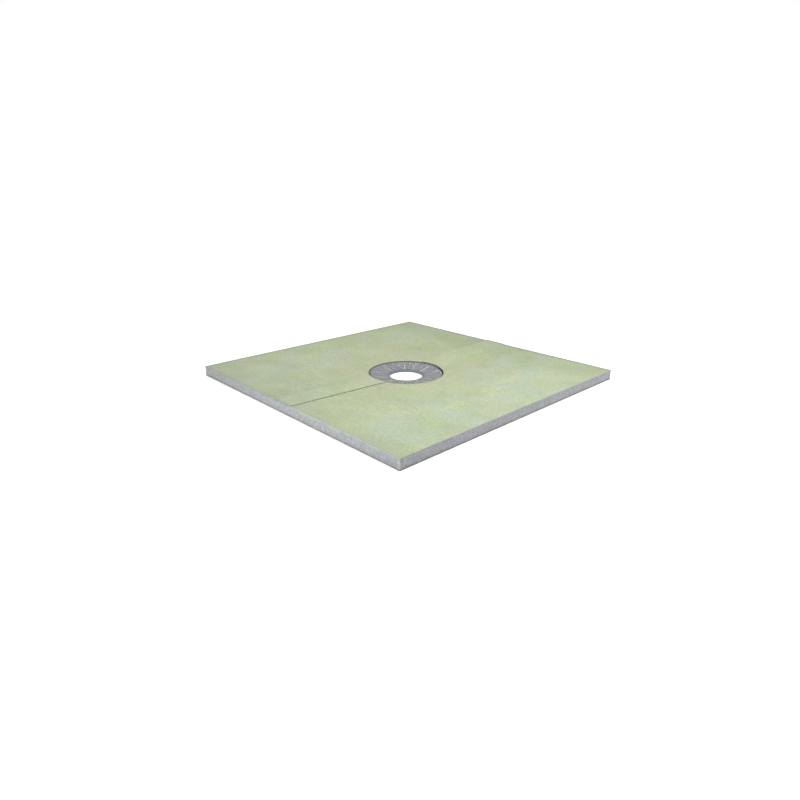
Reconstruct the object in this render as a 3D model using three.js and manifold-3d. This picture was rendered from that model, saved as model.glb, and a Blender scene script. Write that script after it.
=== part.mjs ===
// Tileable shower tray: a square board of rigid foam, dished towards a round drain recess in
// its middle. Two thin facing sheets, whose inner edges lap over each other, cover the dish,
// and a third one covers the flat underside.
// Millimetres, +Z up. The origin is the middle of the underside.

import * as THREE from 'three';
import { mergeVertices } from 'three/addons/utils/BufferGeometryUtils.js';
import Module from 'manifold-3d';

const wasm = await Module();
wasm.setup();

// Overall sizes of the finished tray
const traySide = 900;
const edgeHeight = 30;
const fall = 12;

// Facing sheets
const sheetThickness = 1.5;
const bedGap = 0.3;
const backSheetEdge = 31.5;
const frontSheetEdge = 41;
const lapWidth = 60;
const rampWidth = 30;

// Drain recess and the hole through its floor
const recessRadius = 118;
const recessDepth = 4;
const recessWallRun = 3;
const recessFloorFall = 6.7;
const holeRadius = 53;

// Steps of the curved surfaces
const cellSize = 45;
const roundSteps = 96;
const lapSteps = 2;
const rampSteps = 4;

// Colours and finishes
const foamFinish = { color: 0xa3a3ad, roughness: 0.95, metalness: 0 };
const backSheetFinish = { color: 0xb9c4a2, roughness: 0.9, metalness: 0 };
const frontSheetFinish = { color: 0xc3cdaf, roughness: 0.9, metalness: 0 };
const undersideSheetFinish = { color: 0xaeb996, roughness: 0.9, metalness: 0 };

const halfSide = traySide / 2;
const sheetStep = sheetThickness + bedGap;
const sideCells = Math.round(halfSide / cellSize);
const cutMargin = edgeHeight;

// How far a point lies from the middle, along curves that are round at the drain and grow
// square towards the tray's edge, so that the dish has no valley lines.
function squaredDistance(x, y) {
  return Math.sqrt(Math.max(0, x * x + y * y - (x * y / halfSide) ** 2));
}

// Height of the finished surface: level round the edge, with an even fall to the recess rim.
function finishedHeight(x, y) {
  return edgeHeight - fall * (halfSide - squaredDistance(x, y)) / (halfSide - recessRadius);
}

function foamHeight(x, y) {
  return finishedHeight(x, y) - sheetStep;
}

// A closed slab on a grid of columns and rows. place(column, row, upper) gives each corner.
function slab(columns, rows, place) {
  const box = new THREE.BoxGeometry(columns, rows, 1, columns, rows, 1);
  const corners = box.attributes.position;
  for (let i = 0; i < corners.count; i += 1) {
    const column = Math.round(corners.getX(i) + columns / 2);
    const row = Math.round(corners.getY(i) + rows / 2);
    const [x, y, z] = place(column, row, corners.getZ(i) > 0);
    corners.setXYZ(i, x, y, z);
  }
  return toSolid(box);
}

function toSolid(geometry) {
  geometry.deleteAttribute('normal');
  geometry.deleteAttribute('uv');
  const merged = mergeVertices(geometry, 1e-4);
  return new wasm.Manifold(new wasm.Mesh({
    numProp: 3,
    vertProperties: new Float32Array(merged.attributes.position.array),
    triVerts: new Uint32Array(merged.index.array),
  }));
}

// A turned solid from [radius, height] points that start and end on the axis, lowest first.
function turned(points) {
  const lathe = new THREE.LatheGeometry(points.map(([r, z]) => new THREE.Vector2(r, z)), roundSteps);
  lathe.rotateX(Math.PI / 2);
  return toSolid(lathe);
}

function toMesh(name, solid, finish) {
  const cut = solid.getMesh();
  const geometry = new THREE.BufferGeometry();
  geometry.setAttribute('position', new THREE.BufferAttribute(new Float32Array(cut.vertProperties), 3));
  geometry.setIndex(new THREE.BufferAttribute(new Uint32Array(cut.triVerts), 1));
  geometry.computeVertexNormals();
  const mesh = new THREE.Mesh(geometry, new THREE.MeshStandardMaterial(finish));
  mesh.name = name;
  return mesh;
}

// Foam board: flat underneath, upright cut sides, dished top. The drain recess is milled in,
// with a short slanting wall and a sloping floor, and the hole is bored through.
function foamBoard() {
  const rimHeight = edgeHeight - fall;
  const floorAtRim = rimHeight - recessDepth;
  const cells = 2 * sideCells;
  const board = slab(cells, cells, (column, row, upper) => {
    const x = (column / sideCells - 1) * halfSide;
    const y = (row / sideCells - 1) * halfSide;
    return [x, y, upper ? foamHeight(x, y) : sheetStep];
  });
  const recess = turned([
    [0, -cutMargin],
    [holeRadius, -cutMargin],
    [holeRadius, floorAtRim - recessFloorFall],
    [recessRadius - recessWallRun, floorAtRim],
    [recessRadius, rimHeight - sheetStep],
    [recessRadius, edgeHeight + cutMargin],
    [0, edgeHeight + cutMargin],
  ]);
  return toMesh('foam_board', board.subtract(recess), foamFinish);
}

function steps(from, to, count) {
  return Array.from({ length: count }, (_, i) => from + (to - from) * (i + 1) / count);
}

// Facing sheet, drawn as the back one. Left of the drain it lies over the other sheet: its
// edge shows overEdge in front of the centreline, and past the other's hidden edge it ramps
// down onto the foam. Right of the drain its own edge is hidden, one lap width behind the
// other sheet's edge, which shows otherEdge beyond the centreline. Both change over inside
// the cut-out for the drain.
function facingSheet(overEdge, otherEdge) {
  const rampStart = lapWidth - overEdge + bedGap;
  const rampEnd = rampStart + rampWidth;
  const plainSteps = Math.round((halfSide - rampEnd) / cellSize);
  const overRows = [
    -overEdge,
    ...steps(-overEdge, rampStart, lapSteps),
    ...steps(rampStart, rampEnd, rampSteps),
    ...steps(rampEnd, halfSide, plainSteps),
  ];
  const rows = overRows.length - 1;
  const hiddenEdge = otherEdge - lapWidth;
  const underRows = [hiddenEdge, ...steps(hiddenEdge, halfSide, rows)];

  function lift(y) {
    const down = THREE.MathUtils.clamp((y - rampStart) / rampWidth, 0, 1);
    return sheetStep * (1 + Math.cos(Math.PI * down)) / 2;
  }

  const sheet = slab(2 * sideCells, rows, (column, row, upper) => {
    const x = (column / sideCells - 1) * halfSide;
    const over = x < 0;
    const y = over ? overRows[row] : underRows[row];
    const underside = foamHeight(x, y) + bedGap + (over ? lift(y) : 0);
    return [x, y, upper ? underside + sheetThickness : underside];
  });
  const cutOut = turned([
    [0, -cutMargin],
    [recessRadius, -cutMargin],
    [recessRadius, edgeHeight + cutMargin],
    [0, edgeHeight + cutMargin],
  ]);
  return sheet.subtract(cutOut);
}

// Facing sheet on the underside: flat, as wide as the tray, with the drain hole cut through.
function undersideSheet() {
  const outline = new THREE.Shape();
  outline.moveTo(-halfSide, -halfSide);
  outline.lineTo(halfSide, -halfSide);
  outline.lineTo(halfSide, halfSide);
  outline.lineTo(-halfSide, halfSide);
  outline.closePath();
  const hole = new THREE.Path();
  hole.absarc(0, 0, holeRadius, 0, 2 * Math.PI, false);
  outline.holes.push(hole);
  const sheet = new THREE.ExtrudeGeometry(outline, {
    depth: sheetThickness,
    curveSegments: roundSteps,
    bevelEnabled: false,
  });
  return toMesh('facing_sheet_underside', toSolid(sheet), undersideSheetFinish);
}

const backSheet = toMesh('facing_sheet_back', facingSheet(backSheetEdge, frontSheetEdge), backSheetFinish);

const frontSheet = toMesh('facing_sheet_front', facingSheet(frontSheetEdge, backSheetEdge), frontSheetFinish);
frontSheet.rotation.z = Math.PI;

const tray = new THREE.Group();
tray.add(foamBoard(), backSheet, frontSheet, undersideSheet());

export default tray;
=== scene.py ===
import math

import bpy
import numpy as np
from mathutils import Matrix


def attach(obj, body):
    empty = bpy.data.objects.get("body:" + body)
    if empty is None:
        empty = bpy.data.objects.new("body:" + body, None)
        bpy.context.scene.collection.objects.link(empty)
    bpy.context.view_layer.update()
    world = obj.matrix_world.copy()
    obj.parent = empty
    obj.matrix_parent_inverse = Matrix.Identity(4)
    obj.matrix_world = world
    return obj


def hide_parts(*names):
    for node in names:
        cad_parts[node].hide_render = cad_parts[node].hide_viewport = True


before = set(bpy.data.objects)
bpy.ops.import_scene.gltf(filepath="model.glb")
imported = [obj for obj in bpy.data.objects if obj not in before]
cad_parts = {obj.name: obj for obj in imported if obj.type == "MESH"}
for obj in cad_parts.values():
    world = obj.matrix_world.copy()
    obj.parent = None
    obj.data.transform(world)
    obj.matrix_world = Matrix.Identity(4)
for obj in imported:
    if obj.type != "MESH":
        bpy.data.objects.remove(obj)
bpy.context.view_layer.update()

MM = 0.001


# Sizes read from the frame, in metres

def corner_points(node_name):
    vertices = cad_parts[node_name].data.vertices
    points = np.empty(len(vertices) * 3)
    vertices.foreach_get("co", points)
    return points.reshape(-1, 3)


foam_points = corner_points("foam_board")
back_points = corner_points("facing_sheet_back")
front_points = corner_points("facing_sheet_front")
underside_points = corner_points("facing_sheet_underside")
foam_radii = np.hypot(foam_points[:, 0], foam_points[:, 1])
back_radii = np.hypot(back_points[:, 0], back_points[:, 1])

# Points closer together than this are taken as one place.
TOUCH = 0.2 * MM
HALF_SIDE = foam_points[:, 0].max()
SHEET = underside_points[:, 2].max()
FOAM_EDGE = foam_points[:, 2].max()
# The foam lies this much above the floor, and as much below the finished surface.
STEP = foam_points[:, 2].min()
EDGE_HEIGHT = FOAM_EDGE + STEP
RIM_RADIUS = back_radii.min()
RIM_HEIGHT = back_points[:, 2].min() + SHEET
HOLE_RADIUS = foam_radii.min()
FLOOR_AT_HOLE = foam_points[foam_radii < HOLE_RADIUS + TOUCH, 2].max()
foot_of_wall = (foam_points[:, 2] > FLOOR_AT_HOLE + TOUCH) & (foam_radii < RIM_RADIUS - TOUCH)
FOOT_RADIUS = foam_radii[foot_of_wall].max()
FLOOR_AT_FOOT = foam_points[foot_of_wall, 2].min()

# Inner edges of the two lapped sheets. Each is given as for the back sheet, whose edge shows
# on the left; the front sheet is the same thing turned half round.
BACK_SHOWN_EDGE = back_points[:, 1].min()
BACK_HIDDEN_EDGE = back_points[back_points[:, 0] > RIM_RADIUS, 1].min()
FRONT_SHOWN_EDGE = -front_points[:, 1].max()
FRONT_HIDDEN_EDGE = -front_points[front_points[:, 0] < -RIM_RADIUS, 1].max()
# A sheet that lies over the other comes down to the foam over this width.
RAMP_WIDTH = 30 * MM

# The real sheets are bonded down, so the 0.3 mm left between foam and sheets is closed to this.
BOND_LINE = 0.05 * MM


# Shape of the dish

def squared_distance(x, y):
    return np.sqrt(np.maximum(0, x * x + y * y - (x * y / HALF_SIDE) ** 2))


def finished_height(x, y):
    share = (HALF_SIDE - squared_distance(x, y)) / (HALF_SIDE - RIM_RADIUS)
    return EDGE_HEIGHT - (EDGE_HEIGHT - RIM_HEIGHT) * share


# Swells are so many trains of waves, whose lengths lie between these shares of the one asked for.
SWELL_TRAINS = 10
SHORTEST, LONGEST = 0.7, 1.5


def swells(x, y, wavelength, seed):
    """Smooth random swells between about -1 and 1."""
    draw = np.random.default_rng(seed)
    total = np.zeros(np.broadcast(x, y).shape)
    for _ in range(SWELL_TRAINS):
        heading, phase = draw.uniform(0, math.tau, 2)
        length = wavelength * draw.uniform(SHORTEST, LONGEST)
        total += np.sin((x * math.cos(heading) + y * math.sin(heading)) * math.tau / length + phase)
    return total / math.sqrt(2 * SWELL_TRAINS)


# Rings of points: index 0 is the corner at +X -Y, and they run anticlockwise seen from above

# Points in a ring
AROUND = 1440


def round_ring(radius, around=AROUND):
    angle = math.tau * np.arange(around) / around - math.pi / 4
    return np.stack([radius * np.cos(angle), radius * np.sin(angle)], -1)


def square_ring(half_side, around=AROUND):
    side, along = np.divmod(4 * np.arange(around) / around, 1)
    quarter_turn = side * math.pi / 2
    across = half_side * (2 * along - 1)
    x = half_side * np.cos(quarter_turn) - across * np.sin(quarter_turn)
    y = half_side * np.sin(quarter_turn) + across * np.cos(quarter_turn)
    return np.stack([x, y], -1)


def at_height(ring, height):
    return np.column_stack([ring, np.broadcast_to(height, len(ring))])


def between(inner, outer, share):
    return inner + (outer - inner) * share


# Faces and pieces

def ring_faces(rings, around):
    """Quads of a tube that closes on itself both ways."""
    ring, step = np.meshgrid(np.arange(rings), np.arange(around), indexing="ij")
    next_ring = (ring + 1) % rings
    next_step = (step + 1) % around
    corners = [(ring, step), (ring, next_step), (next_ring, next_step), (next_ring, step)]
    return np.stack([r * around + s for r, s in corners], -1).reshape(-1, 4)


def slab_faces(columns, rows):
    """Quads of a slab: its top, its bottom, and the walls round its border."""
    index = np.arange(columns * rows).reshape(columns, rows)
    top = np.stack([index[:-1, :-1], index[1:, :-1], index[1:, 1:], index[:-1, 1:]], -1).reshape(-1, 4)
    bottom = top[:, ::-1] + columns * rows
    border = np.concatenate([index[:-1, 0], index[-1, :-1], index[:0:-1, -1], index[0, :0:-1]])
    following = np.roll(border, -1)
    below = columns * rows
    walls = np.stack([border, border + below, following + below, following], -1)
    return top, bottom, walls


def volume(points, quads):
    """Six times the volume inside the quads, below 0 where they face inwards."""
    a, b, c, d = (points[quads[:, i]] for i in range(4))
    return (np.cross(a, b) * c).sum() + (np.cross(a, c) * d).sum()


SHARP_ANGLE = math.radians(38)


def make_piece(name, points, quads, face_finish, finishes, marks, node_name):
    """Builds a piece. Its marks are values from about -1 to 1 at each point, which the finishes read."""
    if volume(points, quads) < 0:
        quads = quads[:, ::-1]
    mesh = bpy.data.meshes.new(name)
    mesh.from_pydata(points.tolist(), [], quads.tolist())
    for finish in finishes:
        mesh.materials.append(finish)
    mesh.polygons.foreach_set("material_index", face_finish.astype(np.int32))
    mesh.polygons.foreach_set("use_smooth", np.ones(len(quads), bool))
    mesh.set_sharp_from_angle(angle=SHARP_ANGLE)
    mesh.update()
    for mark, values in marks.items():
        mesh.attributes.new(mark, "FLOAT", "POINT").data.foreach_set("value", values.astype(np.float32))
    piece = bpy.data.objects.new(name, mesh)
    bpy.context.scene.collection.objects.link(piece)
    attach(piece, "root")
    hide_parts(node_name)


# Materials

def linear(code):
    """sRGB hex to the linear colour that the shaders take."""
    channels = [int(code[i:i + 2], 16) / 255 for i in (1, 3, 5)]
    return [c / 12.92 if c <= 0.04045 else ((c + 0.055) / 1.055) ** 2.4 for c in channels] + [1]


def add(tree, kind, sockets, **settings):
    """Adds a node. A socket is given a value, or another node's output to link."""
    node = tree.nodes.new(kind)
    for key, value in settings.items():
        setattr(node, key, value)
    for key, value in sockets.items():
        if isinstance(value, bpy.types.NodeSocket):
            tree.links.new(value, node.inputs[key])
        else:
            node.inputs[key].default_value = value
    return node


# Socket numbers of the Mix node when it mixes colours
SHARE, FIRST, SECOND, MIXED = 0, 6, 7, 2


def start_material(name):
    material = bpy.data.materials.new(name)
    material.use_nodes = True
    tree = material.node_tree
    tree.nodes.clear()
    place = add(tree, "ShaderNodeTexCoord", {}).outputs["Object"]
    return material, tree, place


def per_metre(size_mm):
    """Scale of a texture whose features are this many millimetres across."""
    return 1 / (size_mm * MM)


# How far a mark at full strength moves the noise that it is added to
PALE_PULL = 0.16
MINT_PULL = 0.13
HALO_PULL = 0.24

# How much of its pale tint the raised lap takes on
LAP_PALENESS = 0.22


def facing_material():
    """Polymer mortar floated over glass fabric and left to cure: a matt sage skin, clouded paler,
    mossier and mintier where it lies thicker or thinner, stonier round the drain and dusty along
    the sawn sides. Sand speckles it, and the fabric is just felt under it."""
    material, tree, place = start_material("floated_polymer_mortar_sage")
    halo, mint, lap, pale, side_darkening, dust = [
        add(tree, "ShaderNodeAttribute", {}, attribute_name=mark).outputs["Fac"]
        for mark in ("halo", "mint", "lap", "pale", "side_darkening", "dust")]

    # W picks one pattern out of many, so that the clouds below don't lie on each other.
    thick = add(tree, "ShaderNodeTexNoise", {
        "Vector": place, "W": 1, "Scale": per_metre(110), "Detail": 5, "Roughness": 0.68, "Distortion": 0.3},
        noise_dimensions="4D")
    thicker = add(tree, "ShaderNodeMath", {
        0: pale, 1: PALE_PULL, 2: thick.outputs["Fac"]}, operation="MULTIPLY_ADD")
    tone = add(tree, "ShaderNodeMapRange", {
        "Value": thicker.outputs["Value"], "From Min": 0.355, "From Max": 0.645})
    body = add(tree, "ShaderNodeMix", {
        SHARE: tone.outputs["Result"], FIRST: linear("#99A486"), SECOND: linear("#B1BB9B")}, data_type="RGBA")

    drift = add(tree, "ShaderNodeTexNoise", {
        "Vector": place, "W": 2, "Scale": per_metre(100), "Detail": 5, "Roughness": 0.6, "Distortion": 0.6},
        noise_dimensions="4D")
    cooler = add(tree, "ShaderNodeMath", {
        0: mint, 1: MINT_PULL, 2: drift.outputs["Fac"]}, operation="MULTIPLY_ADD")
    minty = add(tree, "ShaderNodeMapRange", {
        "Value": cooler.outputs["Value"], "From Min": 0.5, "From Max": 0.75})
    mossy = add(tree, "ShaderNodeMapRange", {
        "Value": cooler.outputs["Value"], "From Min": 0.5, "From Max": 0.25})

    bloom = add(tree, "ShaderNodeTexNoise", {
        "Vector": place, "W": 3, "Scale": per_metre(80), "Detail": 4, "Roughness": 0.6},
        noise_dimensions="4D")
    warmer = add(tree, "ShaderNodeMath", {
        0: halo, 1: HALO_PULL, 2: bloom.outputs["Fac"]}, operation="MULTIPLY_ADD")
    stony = add(tree, "ShaderNodeMapRange", {
        "Value": warmer.outputs["Value"], "From Min": 0.5, "From Max": 0.9, "To Max": 0.75})

    # Pigment and sand part as the float passes, which leaves small rosy and leaf green flames.
    flames = add(tree, "ShaderNodeTexNoise", {
        "Vector": place, "W": 4, "Scale": per_metre(60), "Detail": 5, "Roughness": 0.6},
        noise_dimensions="4D")
    rosy = add(tree, "ShaderNodeMapRange", {
        "Value": flames.outputs["Fac"], "From Min": 0.5, "From Max": 0.75, "To Max": 0.5})
    leafy = add(tree, "ShaderNodeMapRange", {
        "Value": flames.outputs["Fac"], "From Min": 0.5, "From Max": 0.25, "To Max": 0.5})
    raised = add(tree, "ShaderNodeMath", {0: lap, 1: LAP_PALENESS}, operation="MULTIPLY")

    # Sand in the mortar is finer than a millimetre. It is drawn at 7 mm, so that it shows.
    grit = add(tree, "ShaderNodeTexNoise", {
        "Vector": place, "Scale": per_metre(7), "Detail": 5, "Roughness": 0.75})
    speckle = add(tree, "ShaderNodeMapRange", {
        "Value": grit.outputs["Fac"], "From Min": 0.4, "From Max": 0.72, "To Max": 0.75})

    tints = [
        (minty.outputs["Result"], "#A4B3A4"),
        (mossy.outputs["Result"], "#A7B282"),
        (stony.outputs["Result"], "#B0AE92"),
        (rosy.outputs["Result"], "#B5ABA3"),
        (leafy.outputs["Result"], "#9DB37E"),
        (raised.outputs["Value"], "#C2CBB1"),
        (dust, "#A6A7A9"),
        (side_darkening, "#6F6F62"),
        (speckle.outputs["Result"], "#828E71"),
    ]
    colour = body.outputs[MIXED]
    for share, tint in tints:
        tinted = add(tree, "ShaderNodeMix", {
            SHARE: share, FIRST: colour, SECOND: linear(tint)}, data_type="RGBA")
        colour = tinted.outputs[MIXED]

    # The mesh of the fabric is 4 mm. At a scale of 1 the wave texture has a wave every tau / 20.
    threads = per_metre(4) * math.tau / 20
    warp = add(tree, "ShaderNodeTexWave", {
        "Vector": place, "Scale": threads, "Distortion": 0.6, "Detail": 1}, bands_direction="X")
    weft = add(tree, "ShaderNodeTexWave", {
        "Vector": place, "Scale": threads, "Distortion": 0.6, "Detail": 1}, bands_direction="Y")
    weave = add(tree, "ShaderNodeMath", {0: warp.outputs["Fac"], 1: weft.outputs["Fac"]}, operation="MAXIMUM")
    fabric = add(tree, "ShaderNodeBump", {
        "Height": weave.outputs["Value"], "Strength": 0.25, "Distance": 0.1 * MM})
    sandy = add(tree, "ShaderNodeBump", {
        "Height": grit.outputs["Fac"], "Strength": 0.5, "Distance": 0.5 * MM,
        "Normal": fabric.outputs["Normal"]})
    surface = add(tree, "ShaderNodeBsdfPrincipled", {
        "Base Color": colour, "Roughness": 0.86, "IOR": 1.5,
        "Normal": sandy.outputs["Normal"]})
    add(tree, "ShaderNodeOutputMaterial", {"Surface": surface.outputs["BSDF"]})
    return material


def facing_edge_material():
    """The same mortar where a knife or saw went through it: raw, darker olive, with the cut ends
    of the glass fabric as pale specks. Its darkness also paints in the shade that lies along a cut
    edge."""
    material, tree, place = start_material("cut_mortar_olive_with_painted_shade")
    dust = add(tree, "ShaderNodeAttribute", {}, attribute_name="dust").outputs["Fac"]
    grains = add(tree, "ShaderNodeTexNoise", {
        "Vector": place, "Scale": per_metre(4), "Detail": 4, "Roughness": 0.7})
    # The dark olive is partly painted shade along the cut edges
    shade = add(tree, "ShaderNodeMix", {
        SHARE: grains.outputs["Fac"], FIRST: linear("#343820"), SECOND: linear("#6D7352")}, data_type="RGBA")
    ends = add(tree, "ShaderNodeTexVoronoi", {"Vector": place, "Scale": per_metre(4)})
    pale = add(tree, "ShaderNodeMapRange", {
        "Value": ends.outputs["Distance"], "From Min": 0.22, "From Max": 0.12, "To Max": 0.3})
    flecked = add(tree, "ShaderNodeMix", {
        SHARE: pale.outputs["Result"], FIRST: shade.outputs[MIXED], SECOND: linear("#A9AD96")},
        data_type="RGBA")
    dusty = add(tree, "ShaderNodeMix", {
        SHARE: dust, FIRST: flecked.outputs[MIXED], SECOND: linear("#ABAF9E")}, data_type="RGBA")
    raw = add(tree, "ShaderNodeBump", {
        "Height": grains.outputs["Fac"], "Strength": 0.8, "Distance": 0.5 * MM})
    surface = add(tree, "ShaderNodeBsdfPrincipled", {
        "Base Color": dusty.outputs[MIXED], "Roughness": 0.92, "IOR": 1.5, "Normal": raw.outputs["Normal"]})
    add(tree, "ShaderNodeOutputMaterial", {"Surface": surface.outputs["BSDF"]})
    return material


def sawn_foam_material():
    """Extruded polystyrene, sawn: grey with a breath of lavender and quite matt. Torn cells make
    light and dark flecks, and the upright strokes of the saw show faintly. Painted shade darkens
    the foot, the corners are crushed paler with a painted highlight on them, and mortar is
    smeared over the front left side."""
    material, tree, place = start_material("sawn_extruded_polystyrene")
    smear, bruise, soil = [
        add(tree, "ShaderNodeAttribute", {}, attribute_name=mark).outputs["Fac"]
        for mark in ("smear", "bruise", "soil")]

    # The cells are a quarter of a millimetre wide. Clumps of torn ones are drawn at 7 mm.
    cells = add(tree, "ShaderNodeTexNoise", {
        "Vector": place, "Scale": per_metre(7), "Detail": 5, "Roughness": 0.8})
    fleck = add(tree, "ShaderNodeMapRange", {"Value": cells.outputs["Fac"], "From Min": 0.3, "From Max": 0.7})
    flecked = add(tree, "ShaderNodeMix", {
        SHARE: fleck.outputs["Result"], FIRST: linear("#6E6F73"), SECOND: linear("#A0A1A6")},
        data_type="RGBA")

    upright = add(tree, "ShaderNodeMapping", {"Vector": place, "Scale": (1, 1, 0.15)})
    strokes = add(tree, "ShaderNodeTexNoise", {
        "Vector": upright.outputs["Vector"], "Scale": per_metre(9), "Detail": 3, "Roughness": 0.6})
    stroke = add(tree, "ShaderNodeMapRange", {
        "Value": strokes.outputs["Fac"], "From Min": 0.4, "From Max": 0.65, "To Max": 0.35})
    stroked = add(tree, "ShaderNodeMix", {
        SHARE: stroke.outputs["Result"], FIRST: flecked.outputs[MIXED], SECOND: linear("#797A7E")},
        data_type="RGBA")

    # Painted shade, darker towards the foot
    foot_shaded = add(tree, "ShaderNodeMix", {
        SHARE: soil, FIRST: stroked.outputs[MIXED], SECOND: linear("#64646A")}, data_type="RGBA")
    # Paler corners: partly crushed foam, partly a painted highlight
    crushed_and_highlit = add(tree, "ShaderNodeMix", {
        SHARE: bruise, FIRST: foot_shaded.outputs[MIXED], SECOND: linear("#B0ABA2")}, data_type="RGBA")
    smeared = add(tree, "ShaderNodeMix", {
        SHARE: smear, FIRST: crushed_and_highlit.outputs[MIXED], SECOND: linear("#919D7D")}, data_type="RGBA")
    torn = add(tree, "ShaderNodeBump", {
        "Height": cells.outputs["Fac"], "Strength": 0.6, "Distance": 1.2 * MM})
    surface = add(tree, "ShaderNodeBsdfPrincipled", {
        "Base Color": smeared.outputs[MIXED], "Roughness": 0.94, "IOR": 1.59,
        "Normal": torn.outputs["Normal"]})
    add(tree, "ShaderNodeOutputMaterial", {"Surface": surface.outputs["BSDF"]})
    return material


# How much of the hues of the cutter's heat the foam takes on
GLAZE_SHARE = 0.45


def milled_foam_material():
    """Extruded polystyrene, milled out by a cutter that swept from the rim to the hole: greyer
    and duller than the sawn sides, with pale scores and dark rubs that run like spokes. The same
    dark colour paints the shadow that falls on the floor by the wall's ends."""
    material, tree, place = start_material("milled_extruded_polystyrene")
    score, smear = [
        add(tree, "ShaderNodeAttribute", {}, attribute_name=mark).outputs["Fac"]
        for mark in ("score", "smear")]
    cells = add(tree, "ShaderNodeTexNoise", {
        "Vector": place, "Scale": per_metre(7), "Detail": 5, "Roughness": 0.8})
    fleck = add(tree, "ShaderNodeMapRange", {"Value": cells.outputs["Fac"], "From Min": 0.3, "From Max": 0.7})
    flecked = add(tree, "ShaderNodeMix", {
        SHARE: fleck.outputs["Result"], FIRST: linear("#676A6F"), SECOND: linear("#84878A")},
        data_type="RGBA")
    # The heat of the cutter turns the foam bluer here and greener there.
    glaze = add(tree, "ShaderNodeTexNoise", {
        "Vector": place, "Scale": per_metre(32), "Detail": 3, "Roughness": 0.6})
    hue = add(tree, "ShaderNodeMapRange", {"Value": glaze.outputs["Fac"], "From Min": 0.35, "From Max": 0.65})
    hues = add(tree, "ShaderNodeMix", {
        SHARE: hue.outputs["Result"], FIRST: linear("#757F78"), SECOND: linear("#7A7688")}, data_type="RGBA")
    glazed = add(tree, "ShaderNodeMix", {
        SHARE: GLAZE_SHARE, FIRST: flecked.outputs[MIXED], SECOND: hues.outputs[MIXED]}, data_type="RGBA")
    # Fine mortar dust lies where the cutter blew it, and greens the foam there.
    greened = add(tree, "ShaderNodeMix", {
        SHARE: smear, FIRST: glazed.outputs[MIXED], SECOND: linear("#737C64")}, data_type="RGBA")
    # Below 0, score paints the cutter's dark rubs, and the painted shadow by the wall
    dark = add(tree, "ShaderNodeMapRange", {"Value": score, "From Max": -1})
    rubs_and_painted_shadow = add(tree, "ShaderNodeMix", {
        SHARE: dark.outputs["Result"], FIRST: greened.outputs[MIXED], SECOND: linear("#4A4E52")},
        data_type="RGBA")
    light = add(tree, "ShaderNodeMapRange", {"Value": score})
    scored = add(tree, "ShaderNodeMix", {
        SHARE: light.outputs["Result"], FIRST: rubs_and_painted_shadow.outputs[MIXED], SECOND: linear("#E2E3E4")},
        data_type="RGBA")
    torn = add(tree, "ShaderNodeBump", {
        "Height": cells.outputs["Fac"], "Strength": 0.7, "Distance": 1.2 * MM})
    surface = add(tree, "ShaderNodeBsdfPrincipled", {
        "Base Color": scored.outputs[MIXED], "Roughness": 0.95, "IOR": 1.59,
        "Normal": torn.outputs["Normal"]})
    add(tree, "ShaderNodeOutputMaterial", {"Surface": surface.outputs["BSDF"]})
    return material


def recess_wall_material():
    """The wall of the recess, where the cutter went down through mortar and foam: olive grey, with
    the shade in the step painted into it, so that it is the darkest line on the tray. Painted
    shadow darkens it further towards its ends."""
    material, tree, place = start_material("milled_wall_with_painted_shade")
    score = add(tree, "ShaderNodeAttribute", {}, attribute_name="score").outputs["Fac"]
    drags = add(tree, "ShaderNodeTexNoise", {
        "Vector": place, "Scale": per_metre(6), "Detail": 4, "Roughness": 0.7})
    # Dark olive grey that paints in the shade of the step
    wall_with_painted_shade = add(tree, "ShaderNodeMix", {
        SHARE: drags.outputs["Fac"], FIRST: linear("#43463D"), SECOND: linear("#7A7F74")}, data_type="RGBA")
    # Below 0, score paints a near-black shadow at the wall's dark ends
    dark = add(tree, "ShaderNodeMapRange", {"Value": score, "From Max": -1})
    painted_end_shadow = add(tree, "ShaderNodeMix", {
        SHARE: dark.outputs["Result"], FIRST: wall_with_painted_shade.outputs[MIXED], SECOND: linear("#12140E")},
        data_type="RGBA")
    light = add(tree, "ShaderNodeMapRange", {"Value": score})
    chipped = add(tree, "ShaderNodeMix", {
        SHARE: light.outputs["Result"], FIRST: painted_end_shadow.outputs[MIXED], SECOND: linear("#E2E3E4")},
        data_type="RGBA")
    torn = add(tree, "ShaderNodeBump", {
        "Height": drags.outputs["Fac"], "Strength": 0.7, "Distance": 0.8 * MM})
    surface = add(tree, "ShaderNodeBsdfPrincipled", {
        "Base Color": chipped.outputs[MIXED], "Roughness": 0.93, "IOR": 1.5,
        "Normal": torn.outputs["Normal"]})
    add(tree, "ShaderNodeOutputMaterial", {"Surface": surface.outputs["BSDF"]})
    return material


def floor_material():
    """Matt white opal board with some light in it, as on a light table, so it stays white right
    up to the tray."""
    material, tree, place = start_material("matt_white_opal_board")
    mottle = add(tree, "ShaderNodeTexNoise", {"Vector": place, "Scale": per_metre(400), "Detail": 2})
    tone = add(tree, "ShaderNodeMix", {
        SHARE: mottle.outputs["Fac"], FIRST: linear("#F7F7F6"), SECOND: linear("#FBFBFA")}, data_type="RGBA")
    surface = add(tree, "ShaderNodeBsdfPrincipled", {
        "Base Color": tone.outputs[MIXED], "Roughness": 0.9, "IOR": 1.45,
        "Emission Color": linear("#FFFFFF"), "Emission Strength": 0.22})
    add(tree, "ShaderNodeOutputMaterial", {"Surface": surface.outputs["BSDF"]})
    return material


facing = facing_material()
facing_edge = facing_edge_material()
sawn_foam = sawn_foam_material()
milled_foam = milled_foam_material()
recess_wall = recess_wall_material()


# Foam board

SAWN, MILLED, WALL = 0, 1, 2


def pushed_in(ring, inset):
    """Moves points of the square ring in from the side they lie on."""
    limit = (HALF_SIDE - inset)[:, None]
    return np.clip(ring, -limit, limit)


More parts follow.
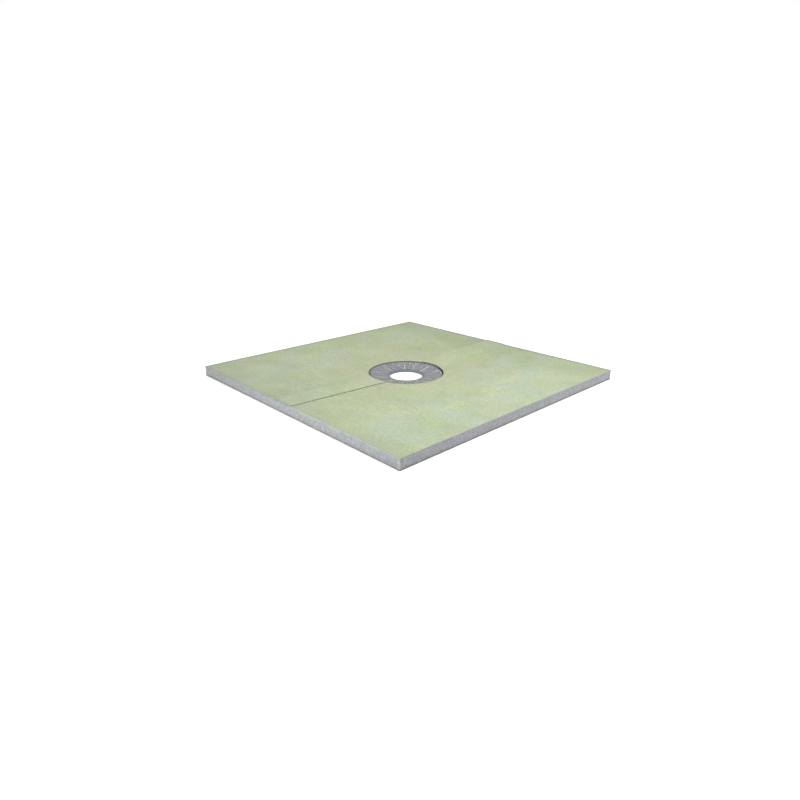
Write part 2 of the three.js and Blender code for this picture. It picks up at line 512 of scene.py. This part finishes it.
# The clearest scores on the recess floor, as the photograph shows them: bearing in degrees at the
# foot of the wall and at the hole, how far out and in they reach as shares of the floor's width,
# width in millimetres, and how pale they are.
CLEAR_SCORES = [
    (50, 50, 0.05, 0.9, 2.6, 0.6),
    (29, 26, 0.05, 0.9, 2.8, 0.35),
    (1, -4, 0.08, 1.0, 3.2, 0.6),
    (14, 11, 0.1, 0.6, 2.4, 0.3),
    (84, 96, 0.45, 1.0, 2.6, 0.35),
    (106, 113, 0.3, 0.8, 2.6, 0.25),
    (153, 158, 0.15, 0.75, 3.0, 0.3),
    (190, 186, 0.2, 0.8, 3.0, 0.25),
    (331, 334, 0.0, 0.5, 2.4, 0.3),
]


# Faint scores lie between them, as trains of waves round the floor: how many trains, how strong
# each is, how many waves it may have, and by about how many waves it twists on its way in.
SCORE_TRAINS = 26
TRAIN_STRENGTH = 0.031
FEWEST_WAVES, WAVE_LIMIT = 9, 110
TWIST = 1.6

# A clear score fades over this share of the floor's width, and has this much left at its stop.
SCORE_FADE = 0.08
REST_AT_STOP = 0.3

# Past this share of its width the floor darkens towards the hole.
HOLE_RING = 0.85
HOLE_RING_DARKNESS = 0.35


def spokes(angle, share):
    """Marks of the cutter on the recess floor: pale above 0, dark below."""
    draw = np.random.default_rng(11)
    total = np.zeros_like(angle)
    for _ in range(SCORE_TRAINS):
        count = draw.integers(FEWEST_WAVES, WAVE_LIMIT)
        phase, drift = draw.uniform(0, math.tau), draw.normal(0, TWIST)
        total += TRAIN_STRENGTH * np.sin(count * angle + phase + drift * math.tau * share)
    radius = FOOT_RADIUS + (HOLE_RADIUS - FOOT_RADIUS) * share
    for outer, inner, start, stop, width, paleness in CLEAR_SCORES:
        middle = math.radians(outer + (inner - outer) * share)
        off = np.angle(np.exp(1j * (angle - middle))) * radius
        begun = np.clip((share - start) / SCORE_FADE, 0, 1)
        to_go = np.clip((stop - share) / SCORE_FADE + REST_AT_STOP, 0, 1)
        total += paleness * begun * to_go * np.exp(-(off / (width * MM / 2)) ** 2)
    total -= HOLE_RING_DARKNESS * np.clip((share - HOLE_RING) / (1 - HOLE_RING), 0, 1)
    return np.clip(total, -1, 1)


# What lies round the recess: its bearing and its reach to either side in degrees, and its
# strength. Painted shadow makes the wall darkest at its right-hand end, where a small burr along
# its foot carries a painted highlight. The painted shadow is dark again at the left-hand end, past
# which it runs on over the floor. Mortar dust lies on the near left of the floor.
RIGHT_END, RIGHT_REACH = -38, 26
LEFT_END, LEFT_REACH, LEFT_DARKNESS = 160, 32, 0.63
BURR, BURR_REACH, BURR_HIGHLIGHT = -41, 8, 0.75
FLOOR_SHADOW, FLOOR_SHADOW_REACH, FLOOR_SHADOW_DARKNESS = 160, 14, 0.5
DUSTY_SIDE, DUSTY_REACH, DUSTINESS = 222, 55, 0.65

# Shares of the floor's width: where the painted shadow on the floor ends, where the dust ends, and over which
# it thins.
FLOOR_SHADOW_END = 0.25
DUST_END, DUST_FADE = 0.73, 0.3

# At its dark ends the wall's finish and its painted shadow spread onto the first rings of the floor:
# how near to an end a point has to be on the first one, and how much nearer on the next.
SPREAD_RINGS = 2
SPREAD_NEARNESS, NEARER = 0.4, 0.2


def near_bearing(angle, bearing, reach):
    """1 at the bearing, fading to either side over the reach."""
    off = np.angle(np.exp(1j * (angle - math.radians(bearing)))) / math.radians(reach)
    return np.exp(-off ** 2)


# How many rings of points there are, or at which shares of a stretch they lie, on the underside,
# the sides, the top from just inside its edge, the wall, the floor and the bore
UNDER_RINGS = 4
SIDE_RINGS = 12
TOP_START, TOP_RINGS = 0.004, 9
WALL_SHARES = (0.3, 0.6, 0.85)
FLOOR_STEPS = 32
BORE_SHARES = (0.33, 0.66)

# Crumbling edge of the hole
HOLE_INSET = 0.6 * MM
CRUMB_DEPTH = 0.75 * MM
SMALL_CRUMBS = 0.6
HOLE_GRAIN = 0.2 * MM

# Waves and torn cells of the sawn sides, wear of their corners, and the paleness of the corners:
# partly crushed foam, partly a painted highlight
SAW_WAVE = 0.2 * MM
SAW_GRAIN = 0.35 * MM
CORNER_WEAR = 0.5 * MM
CORNER_CRUSH_HIGHLIGHT, BESIDE_CRUSH_HIGHLIGHT = 0.45, 0.2

# Mortar smeared down from the top of the front left side, and painted shade along the foot of all sides
SMEAR_DEPTH, SMEAR_CHANGE, SMEAR_FADE = 4 * MM, 3.5 * MM, 3 * MM
SMEAR_SHARE = 0.75
FOOT_SHADE_HEIGHT = 9 * MM
FOOT_SHADE_SHARE, FOOT_SHADE_FALL_OFF = 0.55, 1.3

# Relief of the wall and the floor. That of the floor fades near the wall and near the hole, over
# a share of its width, but for a little of its scores.
WALL_GRAIN = 0.15 * MM
FLOOR_GRAIN = 0.12 * MM
FLOOR_SWELL = 0.2 * MM
FADE_SHARE = 0.25
SCORE_RELIEF, LEAST_RELIEF = 0.35 * MM, 0.15 * MM


def foam_board():
    outline = square_ring(HALF_SIDE)
    rim = round_ring(RIM_RADIUS)
    foot = round_ring(FOOT_RADIUS)
    angle = np.arctan2(foot[:, 1], foot[:, 0])
    draw = np.random.default_rng(7)
    bottom = SHEET + BOND_LINE
    corner = (np.arange(AROUND) % (AROUND // 4)) == 0
    beside_corner = np.roll(corner, 1) | np.roll(corner, -1)
    # Paler corners: partly crushed foam, partly a painted highlight
    bruise = CORNER_CRUSH_HIGHLIGHT * corner + BESIDE_CRUSH_HIGHLIGHT * beside_corner
    front_left = (outline[:, 0] < -HALF_SIDE + TOUCH) & (outline[:, 1] < BACK_SHOWN_EDGE)
    nothing = np.zeros(AROUND)
    rings = []
    finish = []
    marks = {"score": [], "smear": [], "bruise": [], "soil": []}

    def lay(ring, height, ring_finish, **ring_marks):
        rings.append(at_height(ring, height))
        finish.append(np.broadcast_to(ring_finish, AROUND))
        for mark, values in marks.items():
            values.append(ring_marks.get(mark, nothing))

    crumbs = swells(foot[:, 0], foot[:, 1], 22 * MM, 31)
    crumbs += SMALL_CRUMBS * swells(foot[:, 0], foot[:, 1], 8 * MM, 32)
    ragged = HOLE_RADIUS - HOLE_INSET + CRUMB_DEPTH * crumbs
    ragged += draw.uniform(-HOLE_GRAIN, HOLE_GRAIN, AROUND)
    hole = round_ring(1) * ragged[:, None]
    for share in np.linspace(0, 1, UNDER_RINGS):
        lay(between(hole, outline, share), bottom, SAWN)

    # A place along the outline that gives each side its own waves
    along = outline[:, 0] + 2 * outline[:, 1]
    smear_reach = SMEAR_DEPTH + SMEAR_CHANGE * swells(outline[:, 1], nothing, 45 * MM, 22)
    for height in np.linspace(bottom, FOAM_EDGE, SIDE_RINGS):
        saw_wave = SAW_WAVE * (1 + swells(along, height, 60 * MM, 21))
        inset = saw_wave + draw.uniform(0, SAW_GRAIN, AROUND) + CORNER_WEAR * corner
        smear = SMEAR_SHARE * front_left * np.clip((height - FOAM_EDGE + smear_reach) / SMEAR_FADE, 0, 1)
        # Painted shade, darker towards the foot of the sides
        soil = FOOT_SHADE_SHARE * np.clip(1 - (height - bottom) / FOOT_SHADE_HEIGHT, 0, 1) ** FOOT_SHADE_FALL_OFF
        lay(pushed_in(outline, inset), height, SAWN, smear=smear, soil=np.full(AROUND, soil), bruise=bruise)

    for share in np.linspace(TOP_START, 1, TOP_RINGS):
        ring = between(outline, rim, share)
        bonded = finished_height(ring[:, 0], ring[:, 1]) - SHEET - BOND_LINE
        lay(ring, bonded, SAWN if share < 1 else WALL)

    # Painted shadow on the wall, darkest at its right-hand end and dark again at its left-hand end
    right_end = near_bearing(angle, RIGHT_END, RIGHT_REACH)
    left_end = near_bearing(angle, LEFT_END, LEFT_REACH)
    end_shadow = -np.maximum(right_end, LEFT_DARKNESS * left_end)
    wall_top = RIM_HEIGHT - SHEET
    for share in WALL_SHARES:
        rough = draw.uniform(-WALL_GRAIN, WALL_GRAIN, AROUND)
        height = wall_top + (FLOOR_AT_FOOT - wall_top) * share + rough
        lay(between(rim, foot, share), height, WALL, score=end_shadow)

    # Painted highlight on a small burr at the foot of the wall's right-hand end
    burr_highlight = BURR_HIGHLIGHT * near_bearing(angle, BURR, BURR_REACH)
    # Painted shadow on the floor past the wall's left-hand end
    floor_shadow = FLOOR_SHADOW_DARKNESS * near_bearing(angle, FLOOR_SHADOW, FLOOR_SHADOW_REACH)
    dusty = DUSTINESS * near_bearing(angle, DUSTY_SIDE, DUSTY_REACH)
    for step in range(FLOOR_STEPS + 1):
        share = step / FLOOR_STEPS
        ring = between(foot, hole, share)
        score = spokes(angle, share) - floor_shadow * max(0, 1 - share / FLOOR_SHADOW_END)
        settled = dusty * np.clip((DUST_END - share) / DUST_FADE, 0, 1)
        rough = draw.uniform(-FLOOR_GRAIN, FLOOR_GRAIN, AROUND)
        rough += FLOOR_SWELL * swells(ring[:, 0], ring[:, 1], 30 * MM, 41)
        fade = math.sin(math.pi * min(1, share / FADE_SHARE, (1 - share) / FADE_SHARE) / 2)
        height = FLOOR_AT_FOOT + (FLOOR_AT_HOLE - FLOOR_AT_FOOT) * share
        ring_finish = np.full(AROUND, MILLED)
        # Near the wall's dark ends the first floor rings take on its painted shadow
        if step < SPREAD_RINGS:
            score = end_shadow
            ring_finish[np.maximum(right_end, left_end) > SPREAD_NEARNESS + NEARER * step] = WALL
        elif step == SPREAD_RINGS:
            score = np.maximum(score, burr_highlight)
        relief = fade * rough + (SCORE_RELIEF * fade + LEAST_RELIEF) * score
        lay(ring, height + relief, ring_finish, score=score, smear=settled)

    for share in BORE_SHARES:
        lay(hole, FLOOR_AT_HOLE + (bottom - FLOOR_AT_HOLE) * share, MILLED)

    make_piece("foam_board_sawn_and_milled", np.concatenate(rings), ring_faces(len(rings), AROUND),
               np.concatenate(finish), [sawn_foam, milled_foam, recess_wall],
               {mark: np.concatenate(values) for mark, values in marks.items()},
               "foam_board")


# Facing sheets on the dish

FLOATED, CUT = 0, 1
ARRIS = 0.4 * MM
CELL = 4.5 * MM


def spaced(start, end):
    """Places about one cell apart from start to end, without the start."""
    count = max(2, round(abs(end - start) / CELL))
    return list(start + (end - start) * np.arange(1, count + 1) / count)


# Clouds in the mortar, as the photograph shows them: place and reach in millimetres, and strength.
# Those of the first list are minty, or mossy where the strength is below 0.
MINTY_CLOUDS = [
    (-300, 220, 140, 0.7), (-60, 330, 110, 0.6), (230, 320, 120, 0.6), (440, 380, 80, 0.9),
    (-390, -330, 110, 0.9), (-150, -330, 110, 0.9), (120, -320, 140, 1.0), (300, -200, 110, 0.6),
    (-340, -100, 90, -0.9), (-190, -180, 120, -0.8), (-20, -180, 70, -0.6), (170, -30, 90, -0.7),
    (90, 190, 90, -0.7), (340, 100, 120, -0.9), (-185, 130, 110, -0.9), (120, 420, 120, -0.8),
    (-60, -450, 80, -0.9),
]

# These are pale, or darker where the strength is below 0.
PALE_CLOUDS = [
    (450, -60, 100, -1.0), (330, 0, 90, -0.4), (-420, 30, 110, -0.8), (-330, -40, 80, -0.4),
    (-130, 310, 130, 0.8), (120, 310, 130, 0.9), (200, -390, 130, 0.9),
]


def clouded(x, y, clouds):
    """The clouds at each place, added up to between -1 and 1."""
    total = np.zeros_like(x)
    for cloud_x, cloud_y, reach, strength in clouds:
        off = np.hypot(x - cloud_x * MM, y - cloud_y * MM) / (reach * MM)
        total += strength * np.exp(-off ** 2)
    return np.clip(total, -1, 1)


# Darkening along a side of the tray, as shares: of a narrow line at the edge, first on the front
# sheet and then on the back one, and of a wider band, with its width.
RIGHT_SHADE = (0.87, 1.1, 0.15, 130 * MM)
LEFT_SHADE = (0.1, 0.3, 0.12, 90 * MM)
BACK_SHADE = (0.7, 0.7, 0.08, 50 * MM)
EDGE_LINE_WIDTH = 12 * MM
BAND_FALL_OFF = 1.5

# Round the drain: the stony halo, and the rim that is worn pale
HALO_STRENGTH, HALO_CHANGE = 1.15, 0.3
HALO_REACH = 150 * MM
RIM_PALENESS = 0.8
RIM_REACH = 6 * MM

# How pale the raised lap is, and how much that changes from place to place
LAP_STRENGTH, LAP_CHANGE = 0.8, 0.3

# Foam dust along the sides: on the top sheets, on the underside, and how much more of it clings
# where the mortar is drawn over the front left edge
TOP_DUST, UNDERSIDE_DUST = 0.45, 0.12
DUST_CHANGE = 0.4
DUST_REACH = 7 * MM
DRAWN_DUST = 1.7
DRAWN_DUST_REACH = 13 * MM


def edge_shade(depth_in, on_back, front_line, back_line, band, band_width):
    line = np.where(on_back, back_line, front_line) * np.clip(1 - depth_in / EDGE_LINE_WIDTH, 0, 1)
    return line + band * np.clip(1 - depth_in / band_width, 0, 1) ** BAND_FALL_OFF


def facing_marks(x, y, lapped, dustiness):
    """What the floated mortar shows from place to place, with x and y on the tray."""
    from_rim = np.hypot(x, y) - RIM_RADIUS
    halo = HALO_STRENGTH - from_rim / HALO_REACH + HALO_CHANGE * swells(x, y, 140 * MM, 81)
    raised = lapped * (LAP_STRENGTH + LAP_CHANGE * swells(x, y, 150 * MM, 82))
    worn_rim = RIM_PALENESS * np.clip(1 - from_rim / RIM_REACH, 0, 1)
    right = edge_shade(HALF_SIDE - x, y > -FRONT_SHOWN_EDGE, *RIGHT_SHADE)
    left = edge_shade(HALF_SIDE + x, y >= BACK_SHOWN_EDGE, *LEFT_SHADE)
    back = edge_shade(HALF_SIDE - y, y > 0, *BACK_SHADE)
    front_left = (x < y) & (y < BACK_SHOWN_EDGE)
    dusted = dustiness * np.where(front_left, DRAWN_DUST, 1) * (1 + DUST_CHANGE * swells(x, y, 45 * MM, 83))
    dust_reach = np.where(front_left, DRAWN_DUST_REACH, DUST_REACH)
    depth_in = HALF_SIDE - np.maximum(np.abs(x), np.abs(y))
    return {
        "halo": np.clip(halo, 0, 1),
        "mint": clouded(x, y, MINTY_CLOUDS),
        "pale": clouded(x, y, PALE_CLOUDS),
        "lap": np.maximum(raised, worn_rim),
        "side_darkening": np.maximum(right, np.maximum(left, back)),
        "dust": np.clip(dusted * (1 - depth_in / dust_reach), 0, 1),
    }


# Long and short swells of the mortar, wear of the sheets' edges, and how far the shown edge of a
# lap wanders
LONG_SWELL, SHORT_SWELL = 0.1 * MM, 0.05 * MM
EDGE_WEAR = 0.25 * MM
EDGE_WANDER, WANDER_REACH = 0.35 * MM, 6 * MM

# Mortar fills the foot of the shown edge near the rim, so that the seam fades there.
SEAM_FILL = 0.5
SEAM_FILL_REACH = 45 * MM


def facing_sheet(name, node_name, shown_edge, hidden_edge, ramp_start, turned, seed):
    """Drawn as the back sheet: columns run from the recess rim out to the tray's edge, and start
    along the shown edge on the left. The front sheet is then turned half round."""
    left = [shown_edge, shown_edge + ARRIS] + spaced(shown_edge + ARRIS, HALF_SIDE)
    top = spaced(-HALF_SIDE, HALF_SIDE)
    right = spaced(HALF_SIDE, hidden_edge + ARRIS) + [hidden_edge]
    outline_x = np.array([-HALF_SIDE] * len(left) + top + [HALF_SIDE] * len(right))
    outline_y = np.array(left + [HALF_SIDE] * len(top) + right)
    shown_angle = math.pi - math.asin(shown_edge / RIM_RADIUS)
    hidden_angle = math.asin(hidden_edge / RIM_RADIUS)
    # Columns that end at the tray's corners leave the rim straight towards them.
    left_corner, right_corner = 0.75 * math.pi, 0.25 * math.pi
    sweep = np.concatenate([
        np.interp(left, [shown_edge, HALF_SIDE], [0, shown_angle - left_corner]),
        np.interp(top, [-HALF_SIDE, HALF_SIDE], [0, left_corner - right_corner])
        + shown_angle - left_corner,
        np.interp(-np.array(right), [-HALF_SIDE, -hidden_edge], [0, right_corner - hidden_angle])
        + shown_angle - right_corner,
    ])
    rim_angle = shown_angle - sweep
    rim_x = RIM_RADIUS * np.cos(rim_angle)
    rim_y = RIM_RADIUS * np.sin(rim_angle)
    reach = HALF_SIDE - RIM_RADIUS
    inner = ARRIS / reach
    shares = np.concatenate([[0], np.linspace(inner, 1 - inner, round(reach / CELL)), [1]])
    x = rim_x[:, None] + (outline_x - rim_x)[:, None] * shares
    y = rim_y[:, None] + (outline_y - rim_y)[:, None] * shares
    columns, rows = x.shape

    down = np.clip((y - ramp_start) / RAMP_WIDTH, 0, 1)
    lift = np.where(x < 0, STEP * (1 + np.cos(math.pi * down)) / 2, 0)
    finished = finished_height(x, y) + lift
    worn = np.zeros_like(x)
    worn[0, :] = worn[-1, :] = worn[:, 0] = worn[:, -1] = EDGE_WEAR
    swelling = LONG_SWELL * (1 + swells(x, y, 90 * MM, seed))
    swelling += SHORT_SWELL * (1 + swells(x, y, 25 * MM, seed + 1))
    upper = finished - worn - np.maximum(swelling, 0)
    wander = EDGE_WANDER * swells(x, 0 * y, 60 * MM, seed + 2)
    near_shown = np.clip(1 - (y - shown_edge) / WANDER_REACH, 0, 1) * (x < 0) * (y < 0)
    y = y + wander * near_shown
    if turned:
        x, y = -x, -y
    points = np.concatenate([
        np.stack([x, y, upper], -1).reshape(-1, 3),
        np.stack([x, y, finished - SHEET], -1).reshape(-1, 3),
    ])
    top_faces, bottom_faces, walls = slab_faces(columns, rows)
    quads = np.concatenate([top_faces, bottom_faces, walls])
    # The mortar is drawn down over the cut edge at the front left, and cut clean elsewhere.
    wall_x, wall_y = points[walls, 0].mean(1), points[walls, 1].mean(1)
    drawn_over = turned & (wall_x < -HALF_SIDE + ARRIS) & (wall_y < BACK_SHOWN_EDGE)
    face_finish = np.concatenate([
        np.full(len(top_faces) + len(bottom_faces), FLOATED), np.where(drawn_over, FLOATED, CUT)])
    marks = facing_marks(x, y, lift / STEP, TOP_DUST)
    from_rim = np.hypot(x[0], y[0]) - RIM_RADIUS
    filled = SEAM_FILL * np.clip(1 - from_rim / SEAM_FILL_REACH, 0, 1)
    marks["dust"][0] = np.maximum(marks["dust"][0], filled)
    make_piece(name, points, quads, face_finish, [facing, facing_edge],
               {mark: np.tile(values.ravel(), 2) for mark, values in marks.items()},
               node_name)


# Facing sheet on the underside

# Its rings of points, its ragged hole and nibbled outline, and the pits and worn edges of its skin
LOWER_RINGS = 40
UPPER_SHARES = (1, 0.66, 0.33, 0)
HOLE_RAGGEDNESS = 0.3 * MM
NIBBLED_DEPTH = 0.25 * MM
PIT_DEPTH = 0.06 * MM
UNDERSIDE_WEAR = 0.2 * MM


def underside_sheet():
    around = AROUND // 2
    outline = square_ring(HALF_SIDE, around)
    draw = np.random.default_rng(5)
    ragged = draw.uniform(-HOLE_RAGGEDNESS, HOLE_RAGGEDNESS, around)
    hole = round_ring(1, around) * (HOLE_RADIUS + ragged)[:, None]
    cut_outline = pushed_in(outline, draw.uniform(0, NIBBLED_DEPTH, around))
    rings = []
    inner = ARRIS / HALF_SIDE
    for share in [0, *np.linspace(inner, 1 - inner, LOWER_RINGS), 1]:
        ring = between(hole, cut_outline, share)
        pitted = PIT_DEPTH * (1 + swells(ring[:, 0], ring[:, 1], 40 * MM, 51))
        worn = UNDERSIDE_WEAR if share in (0, 1) else 0
        rings.append(at_height(ring, np.maximum(pitted, 0) + worn))
    last_lower = len(rings) - 1
    for share in UPPER_SHARES:
        rings.append(at_height(between(hole, cut_outline, share), SHEET))
    finish = np.full(len(rings), FLOATED)
    finish[[last_lower, -1]] = CUT
    points = np.concatenate(rings)
    make_piece("underside_facing_floated", points, ring_faces(len(rings), around),
               np.repeat(finish, around), [facing, facing_edge],
               facing_marks(points[:, 0], points[:, 1], 0, UNDERSIDE_DUST),
               "facing_sheet_underside")


foam_board()
facing_sheet("back_facing_lapped", "facing_sheet_back", BACK_SHOWN_EDGE, BACK_HIDDEN_EDGE,
             -FRONT_HIDDEN_EDGE, False, 61)
facing_sheet("front_facing_lapped", "facing_sheet_front", FRONT_SHOWN_EDGE, FRONT_HIDDEN_EDGE,
             -BACK_HIDDEN_EDGE, True, 71)
underside_sheet()


# Studio

FLOOR_REACH = 40
# A hair below the tray, so that the two faces never lie in each other
FLOOR_DROP = 0.1 * MM


def studio_floor():
    mesh = bpy.data.meshes.new("studio_floor")
    corners = [
        (x * FLOOR_REACH, y * FLOOR_REACH, -FLOOR_DROP) for x, y in ((-1, -1), (1, -1), (1, 1), (-1, 1))]
    mesh.from_pydata(corners, [], [(0, 1, 2, 3)])
    mesh.materials.append(floor_material())
    floor = bpy.data.objects.new("studio_floor", mesh)
    bpy.context.scene.collection.objects.link(floor)


def softbox(name, place, target, size, power, colour):
    """A round lamp aimed at its target, with its size in metres and its power in watts."""
    lamp = bpy.data.lights.new(name, "AREA")
    lamp.shape = "DISK"
    lamp.size = size
    lamp.energy = power
    lamp.color = linear(colour)[:3]
    box = bpy.data.objects.new(name, lamp)
    bpy.context.scene.collection.objects.link(box)
    box.location = place
    direction = np.array(target) - np.array(place)
    box.rotation_euler = (
        math.atan2(math.hypot(direction[0], direction[1]), -direction[2]),
        0,
        math.atan2(direction[1], direction[0]) - math.pi / 2,
    )


def studio_lights():
    world = bpy.data.worlds.new("studio_white")
    bpy.context.scene.world = world
    world.use_nodes = True
    background = world.node_tree.nodes["Background"]
    background.inputs["Color"].default_value = linear("#FFFFFF")
    background.inputs["Strength"].default_value = 1.0
    softbox("softbox_over_front", (-0.03, -0.5, 0.92), (-0.03, -0.35, 0), 0.4, 4.1, "#FFFEFA")
    softbox("softbox_left", (-1.25, -0.1, 0.16), (-0.45, -0.05, 0), 0.28, 4.2, "#F9FFFC")
    softbox("softbox_right", (0.95, -1.3, 0.16), (0.4, -0.45, 0), 0.28, 3.7, "#FFFFFF")


# The photograph's camera, fitted to the tray's corners
CAMERA_PLACE = (-1.2225, -1.2727, 0.5903)
CAMERA_HEADING = math.radians(46.77)
CAMERA_PITCH = math.radians(20.71)
LENS = 26.58
SENSOR_WIDTH = 36


def photo_camera():
    data = bpy.data.cameras.new("photo_camera")
    data.lens = LENS
    data.sensor_width = SENSOR_WIDTH
    camera = bpy.data.objects.new("photo_camera", data)
    bpy.context.scene.collection.objects.link(camera)
    camera.location = CAMERA_PLACE
    camera.rotation_euler = (math.pi / 2 - CAMERA_PITCH, 0, CAMERA_HEADING - math.pi / 2)
    bpy.context.scene.camera = camera


studio_floor()
studio_lights()
photo_camera()
bpy.context.scene.view_settings.view_transform = "Standard"
